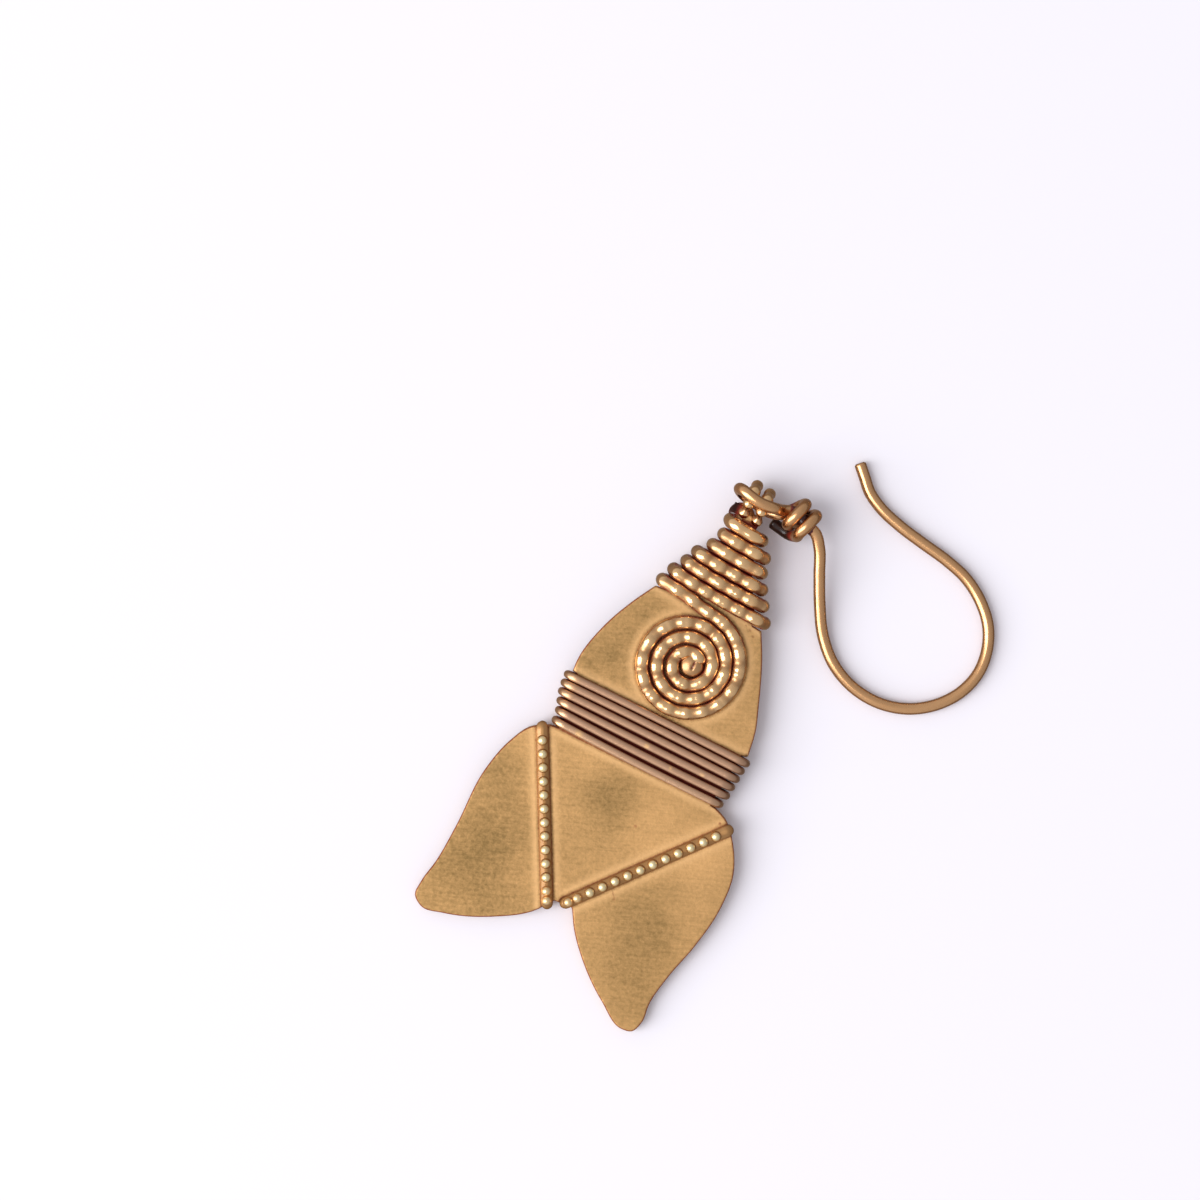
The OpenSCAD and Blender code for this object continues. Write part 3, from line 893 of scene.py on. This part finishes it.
def nose_winding():
    """The beaded wire round the nose, whose end is coiled into the eye."""
    rise = HALF_T + GAP + NOSE_WIRE / 2
    points, sides = 80, 28
    eye = [(*eye_point(t), rise) for t in np.linspace(EYE_START, HEART_TURNS, points)]
    lead = [(x, y, rise) for x, y in EYE_LEAD]
    # The last bend slopes on the front towards the first point of the lead
    last = [(x, np.interp(x, *zip(LAST_BEND, EYE_LEAD[0])) if z > 0 else y, z)
            for x, y, z in bend(-1, *LAST_BEND, NOSE_WIRE)]
    route = [(0, NOSE_TURNS[0][1], -rise), *winding(NOSE_TURNS, NOSE_WIRE), *last, *lead, *eye]
    route = evenly(smooth(route, steps=8), spacing=0.08)
    s = reaches(route)
    worked = START_BEADS + (1 - START_BEADS) * step(*START_ENDS, s)
    neck = worked * beads(s, BEAD_LEN, BEADS_UNEVEN, seed=5)
    ripple = worked * beads(s, BEAD_LEN / 2, RIPPLES_UNEVEN, seed=9)
    verts, faces, out = tube(route, NOSE_WIRE / 2 - NECK_DIP * neck, sides, round_ends=0.3,
                             top_dip=NECK_TOP_DIP * neck + RIPPLE_TOP_DIP * ripple, square=2.3)
    values = wound_values(verts, out, np.repeat(neck, sides), top=0.52, depth_shade=0.0)
    # The eye's outer side has no neighbour that holds the oxide
    values["oxide"] *= np.where(outside_eye(verts), at_plate(verts), 1)
    heart, heart_faces, heart_values = eye_heart()
    faces += [tuple(len(verts) + i for i in f) for f in heart_faces]
    values = {key: np.concatenate([values[key], heart_values[key]]) for key in values}
    add_mesh("nose_winding_and_eye", on_fish(np.vstack([verts, heart])), faces, bead_brass,
             "beaded_wire_brass", ["beaded_wire"], **values)


# The bail
# How deep its necks are, and how much deeper at the rear
BAIL_NECK = 0.11
REAR_NECK = 0.16
REAR_COSINES = (-0.1, 0.7)
# Oxide on the rings' flanks, low at the rear, and in the rear necks
FLANK_OXIDE = 0.3
LOW_OXIDE = 0.2
REAR_NECK_OXIDE = 0.3
# How far the flanks face sideways, and where low and rear end, the first as a share of BAIL_R
FLANK_FACING = (0.7, 0.95)
LOW_ENDS = (-0.4, 0.5)
REAR_ENDS = (-0.8, -0.1)
# Dullness of a bead, what a neck adds, and the dullness below which a bead glows
BAIL_DULL = -0.6
BAIL_NECK_DULL = 0.7
BAIL_GLOW = 0.3
GLOWS_BELOW = -0.2
# The solder's lumps: their height as a share, and the radians to a mm of their waves
LUMP = 0.15
LUMP_X, LUMP_Y = 5.1, 6.3
# Painted shade at the solder's left end, and how much less it is elsewhere, where some oxide stays
SOLDER_SHADE = 1.6
SOLDER_SHADE_DROP = 1.35
SOLDER_X = (-1.75, -1.35)


def bail():
    """Two standing rings of beaded wire, side by side, soldered to the nose."""
    points, sides = 180, 24
    a = np.linspace(0, 2 * math.pi, points, endpoint=False)
    neck = 0.5 - 0.5 * np.cos(BAIL_BEADS * (a - BAIL_FIRST_BEAD))
    depth = BAIL_NECK + REAR_NECK * step(*REAR_COSINES, -np.cos(a))
    all_verts, all_faces, oxide = [], [], []
    for x, y in BAIL_RINGS:
        route = np.column_stack([np.full_like(a, x), y + BAIL_R * np.cos(a), BAIL_R * np.sin(a)])
        verts, faces, out = tube(route, BAIL_WIRE / 2 - depth * neck, sides, closed=True)
        base = len(all_verts) * len(verts)
        all_faces += [tuple(base + i for i in f) for f in faces]
        all_verts.append(verts)
        flank = step(*FLANK_FACING, np.abs(out[:, 0]))
        low = fade(*LOW_ENDS, verts[:, 2] / BAIL_R)
        rear = fade(*REAR_ENDS, verts[:, 1] - y)
        necks = np.repeat(neck, sides)
        oxide.append(FLANK_OXIDE * flank + LOW_OXIDE * low * rear + REAR_NECK_OXIDE * necks * rear)
    dull = np.tile(np.repeat(BAIL_NECK_DULL * neck + BAIL_DULL, sides), len(BAIL_RINGS))
    add_mesh("bail", on_fish(np.vstack(all_verts)), all_faces, bead_brass, "plate_brass",
             ["fish_body"], oxide=np.concatenate(oxide), glow=BAIL_GLOW * (dull < GLOWS_BELOW),
             dull=dull)


def bail_solder():
    """The lump of solder that holds the rings to the nose, its left end painted near-black as shade."""
    around = 40
    verts, faces, _ = dome((*SOLDER, 0), SOLDER_R, around, up=10)
    # The base is opened, and the same half stands below it, on the base's own vertices
    faces = faces[1:]
    below = verts[around:] * (1, 1, -1)
    shift = len(verts) - around
    turned = [tuple(i if i < around else i + shift for i in f[::-1]) for f in faces]
    verts = np.vstack([verts, below])
    verts[:, 2] *= 1 + LUMP * np.sin(LUMP_X * verts[:, 0]) * np.cos(LUMP_Y * verts[:, 1])
    # Its left end is painted near-black as shade
    add_mesh("bail_solder", on_fish(verts), faces + turned, bead_brass, "plate_brass",
             ["fish_body"], oxide=SOLDER_SHADE - SOLDER_SHADE_DROP * step(*SOLDER_X, verts[:, 0]),
             glow=np.zeros(len(verts)), dull=np.ones(len(verts)))


# The tail bars
# The low strip under the beads, and the radius of its corners where it bends over the edge
STRIP_W = 0.84
STRIP_H = 0.50
CORNER_R = 0.2
# How far below the plate's top the strip begins to be as wide as on it
WIDENS_BELOW = 0.1
# A bead's radius, how much lower it is than in the source, and how near the end the last one is
BEAD_R = 0.39
BEAD_LOWER = 0.03
LAST_BEAD = 0.28
# The plain stretch without beads ends this far along the bar
PLAIN_ENDS = (0.6, 1.1)
# Oxide of the strip's sides, how much less that is where it is plain, and between the beads
STRIP_OXIDE = 0.9
PLAIN_CLEANER = 0.5
TOP_OXIDE = 0.12
STRIP_FACING = (0.1, 0.5)
# Heights at which the oxide of its sides begins
STRIP_HEIGHTS = (HALF_T - 0.2, HALF_T + 0.05)
STRIP_DULL = 1.3
STRIP_GLOW = 0.15
# Oxide round a bead's foot, its share if worn, and the share of the height where it ends
FOOT_OXIDE = 0.55
WORN_SHARE = 0.4
FOOT_ENDS = (0.25, 0.6)
# How much less dull its top is, as wear and painted highlight, and how many worn last beads glow
TOP_BRIGHTER = 2.6
TOP_BEGINS = (0.52, 0.86)
WORN_AND_LIT_BEADS = 2
END_BEAD_HIGHLIGHT = 0.5


def tail_bar(name, node_name, ends):
    """A row of beads on a low strip; the strip's plain ends are bent over the plate's edge."""
    low = HALF_T + GAP + STRIP_H / 2
    a, b = (np.array(e, float) for e in ends)
    length = np.linalg.norm(b - a)
    way = (b - a) / length

    def at(s, z):
        """The point at height z and s along the bar."""
        return (*(a + way * s), z)

    def turn(s, sign):
        """The strip's round corner at an end, from the side of the plate to its top."""
        return [at(s + sign * CORNER_R * (1 - math.cos(t)), low - CORNER_R * (1 - math.sin(t)))
                for t in np.linspace(0, math.pi / 2, num=6)]

    route = np.array([at(0, -HALF_T), at(0, 0), *turn(0, 1), *turn(length, -1)[::-1],
                      at(length, 0), at(length, -HALF_T)])
    route = evenly(route, spacing=0.06)
    on_top = step(HALF_T - WIDENS_BELOW, low, route[:, 2])
    radius = BAR_ROD / 2 + (STRIP_W - BAR_ROD) / 2 * on_top
    verts, faces, out = tube(route, radius, sides=28, round_ends=0.05, square=2.6,
                             top_dip=(STRIP_W - STRIP_H) / 2 * on_top)
    plain = fade(*PLAIN_ENDS, (verts[:, :2] - a) @ way)
    beside = fade(*STRIP_FACING, out[:, 2]) * step(*STRIP_HEIGHTS, verts[:, 2]) * at_plate(verts)
    oxide = [(STRIP_OXIDE - PLAIN_CLEANER * plain) * beside + TOP_OXIDE * (1 - plain)]
    dull, glow, parts = [np.full(len(verts), STRIP_DULL)], [STRIP_GLOW * plain], [verts]
    size = (BEAD_R, BEAD_R, HALF_T + GAP + BAR_BEAD - BEAD_LOWER - low)
    for i in range(1, BAR_BEADS):
        s = min(i * length / (BAR_BEADS - 1), length - LAST_BEAD)
        worn_and_lit = i >= BAR_BEADS - WORN_AND_LIT_BEADS
        bead, bead_faces, share = dome(at(s, low), size, around=26, up=9, fullness=0.75)
        base = sum(len(p) for p in parts)
        faces += [tuple(base + k for k in f) for f in bead_faces]
        parts.append(bead)
        oxide.append(FOOT_OXIDE * fade(*FOOT_ENDS, share) * (WORN_SHARE if worn_and_lit else 1))
        # Each bead's top is painted pale, part wear and part a painted highlight
        dull.append(STRIP_DULL - TOP_BRIGHTER * step(*TOP_BEGINS, share))
        # The last beads are worn and carry a painted highlight
        glow.append(np.full(len(bead), END_BEAD_HIGHLIGHT if worn_and_lit else 0.0))
    add_mesh(name, on_fish(np.vstack(parts)), faces, bar_brass, "tail_bar_brass", [node_name],
             oxide=np.concatenate(oxide), glow=np.concatenate(glow), dull=np.concatenate(dull))


# The ear wire
# Distances of the tip's points from its end in the source
TIP_STEPS = (-0.12, 1.0, TIP_LEN)
# Degrees between two points of the windings round the shank
WRAP_TURN = 34
# The knot ends at this x, and its route is eased this many times
KNOT_END = 3.9
EASINGS = 6
# Painted shade on the hook's lower side and edges, and how far up it faces where that ends
LOWER_SHADE = 0.35
LOWER_ENDS = (0.05, 0.4)
# Painted shade round the shank in the knot, its ends outward and in x, and how far up it runs on
CORE_SHADE = 1.5
CORE_ENDS = (0.48, 0.68)
CORE_X = (1.3, 3.75)
CORE_RUNS_ON = 0.35
# Painted shade low in the knot, its ends in height and x, and how far up it faces where it begins
DEEP_SHADE = 2.0
DEEP_ENDS = (1.3, 2.2)
DEEP_X = 3.2
DEEP_FACING = (-0.5, 0.1)
KNOT_DULL = 0.25


def ear_wire():
    """The ear hook: its tip, arch and shank, its way through the bail and round the shank."""
    along = unit(WRAP_TO - WRAP_FROM)
    low = unit(np.cross([0, 0, 1], along))
    up = np.cross(along, low)

    def from_rings(points):
        """Points with heights from the plate's middle at the bail as heights over the floor."""
        middle = WAIST_Z + BAIL_RINGS[0][1] * math.sin(TILT)
        return [(x, y, middle + h) for x, y, h in points]

    def wrap_point(a):
        """A point of the windings after a turn of a degrees."""
        s = np.interp(a, *zip(*WRAP_STEPS))
        t = math.radians(a)
        return WRAP_FROM + along * s + WRAP_R * (math.cos(t) * low - math.sin(t) * up)

    tip_way = np.array([math.cos(TIP_TURN), math.sin(TIP_TURN)])
    tip = [TIP_AT + tip_way * s for s in TIP_STEPS]
    lying = [(*p, FLOOR_Z) for p in [*tip, *HOOK_LYING]]
    wraps = [wrap_point(a) for a in range(WRAP_STEPS[0][0], WRAP_STEPS[-1][0], WRAP_TURN)]
    route = [*lying, *HOOK_RISING, WRAP_FROM, WRAP_TO, *from_rings(HOOK_EYE), *wraps,
             *from_rings(HOOK_END)]
    route = evenly(smooth(route, steps=10), spacing=0.1)
    in_knot = (route[:, 0] < KNOT_END)[:, None]
    for _ in range(EASINGS):
        eased = route.copy()
        eased[1:-1] = (route[:-2] + 2 * route[1:-1] + route[2:]) / 4
        route = np.where(in_knot, eased, route)
    verts, faces, out = tube(route, HOOK_WIRE / 2, sides=36, round_ends=0.12)
    # Painted shade on the lower side and edges
    lower = LOWER_SHADE * fade(*LOWER_ENDS, out[:, 2])
    shank = [WRAP_FROM + CORE_RUNS_ON * (WRAP_FROM - WRAP_TO), WRAP_TO]
    knot = (verts[:, 0] > CORE_X[0]) & (verts[:, 0] < CORE_X[1])
    # Near-black painted shade round the shank between the windings
    core = CORE_SHADE * knot * fade(*CORE_ENDS, distance_to(verts, shank))
    # Near-black painted shade low in the knot, under the windings
    deep = DEEP_SHADE * (verts[:, 0] < DEEP_X) * fade(*DEEP_ENDS, verts[:, 2])
    deep *= step(*DEEP_FACING, out[:, 2])
    add_mesh("ear_wire", on_floor(verts), faces, hook_brass, "hook_brass", ["ear_hook"],
             oxide=np.maximum(lower, core) + deep, glow=np.zeros(len(verts)),
             dull=KNOT_DULL * knot)


# Table, light and camera
# Where the key light stands, in degrees, in the fish's frame
KEY_AZIMUTH = 219


def floor():
    """The pale table."""
    half = 3.0
    corners = [(-half, -half, 0), (half, -half, 0), (half, half, 0), (-half, half, 0)]
    mesh = bpy.data.meshes.new("table")
    mesh.from_pydata(corners, [], [(0, 1, 2, 3)])
    table = placed("table", mesh)
    # The metal reflects the dim room below the horizon rather than the table
    table.visible_glossy = False
    material = bpy.data.materials.new("pale_table")
    material.use_nodes = True
    shader = material.node_tree.nodes["Principled BSDF"]
    shader.inputs["Base Color"].default_value = (0.90, 0.87, 0.935, 1)
    shader.inputs["Roughness"].default_value = 0.9
    shader.inputs["Specular IOR Level"].default_value = 0.1
    mesh.materials.append(material)


def softbox(name, azimuth, elevation, distance, width, height, power):
    """A rectangular light that looks at the fish, with its direction in degrees."""
    a, e = math.radians(azimuth), math.radians(elevation)
    away = Vector((math.cos(a) * math.cos(e), math.sin(a) * math.cos(e), math.sin(e)))
    light = bpy.data.lights.new(name, "AREA")
    light.shape = "RECTANGLE"
    light.size, light.size_y = width, height
    light.energy = power
    lamp = placed(name, light)
    lamp.location = away * distance
    lamp.rotation_mode = "QUATERNION"
    lamp.rotation_quaternion = away.to_track_quat("Z", "Y")


def sky(strength, lean, below):
    """A soft room: brighter towards the key light by lean, and dim below the horizon."""
    world = bpy.data.worlds.new("studio")
    bpy.context.scene.world = world
    world.use_nodes = True
    tree = world.node_tree
    way = node(tree, "ShaderNodeTexCoord").outputs["Generated"]
    towards = tree.nodes.new("ShaderNodeVectorMath")
    towards.operation = "DOT_PRODUCT"
    a = math.radians(KEY_AZIMUTH)
    feed(tree, towards.inputs[0], way)
    feed(tree, towards.inputs[1], (math.cos(a), math.sin(a), 0))
    leaning = math_node(tree, "MULTIPLY", towards.outputs["Value"], lean)
    split = node(tree, "ShaderNodeSeparateXYZ", Vector=way)
    horizon = 0.12
    above = spread(tree, split.outputs["Z"], -horizon, horizon)
    sky_colour = (0.97, 0.97, 1.0, 1)
    ground_colour = (below, 0.8 * below, 0.66 * below, 1)
    background = tree.nodes["Background"]
    feed(tree, background.inputs["Color"], mix_colour(tree, above, ground_colour, sky_colour))
    feed(tree, background.inputs["Strength"], math_node(tree, "ADD", leaning, strength))


def camera():
    """The photo's camera, straight above, with the photo's framing and turn."""
    lens, sensor = 100.0, 36.0
    cam = bpy.data.cameras.new("camera")
    cam.lens, cam.sensor_width = lens, sensor
    half_view = PHOTO_PX * PHOTO_MM_PER_PX * MM / 2
    distance = half_view / (sensor / 2 / lens)
    # It sees this many times nearer and farther than the fish
    span = 20
    cam.clip_start, cam.clip_end = distance / span, distance * span
    eye = placed("camera", cam)
    x, y = np.array(PHOTO_CENTRE) - BOX_MID
    eye.location = (x * MM, y * MM, WAIST_Z * MM + distance)
    eye.rotation_euler = (0, 0, PHOTO_TURN)
    bpy.context.scene.camera = eye


# The scene
plate()
bail()
bail_solder()
waist_winding()
nose_winding()
tail_bar("tail_bar_left_beads", "tail_bar_left", LEFT_BAR)
tail_bar("tail_bar_right_beads", "tail_bar_right", RIGHT_BAR)
ear_wire()
floor()
softbox("key", KEY_AZIMUTH, elevation=42, distance=0.90, width=0.58, height=1.00, power=7.65)
sky(strength=0.622, lean=0.22, below=0.4)
camera()
bpy.context.scene.view_settings.view_transform = "Standard"
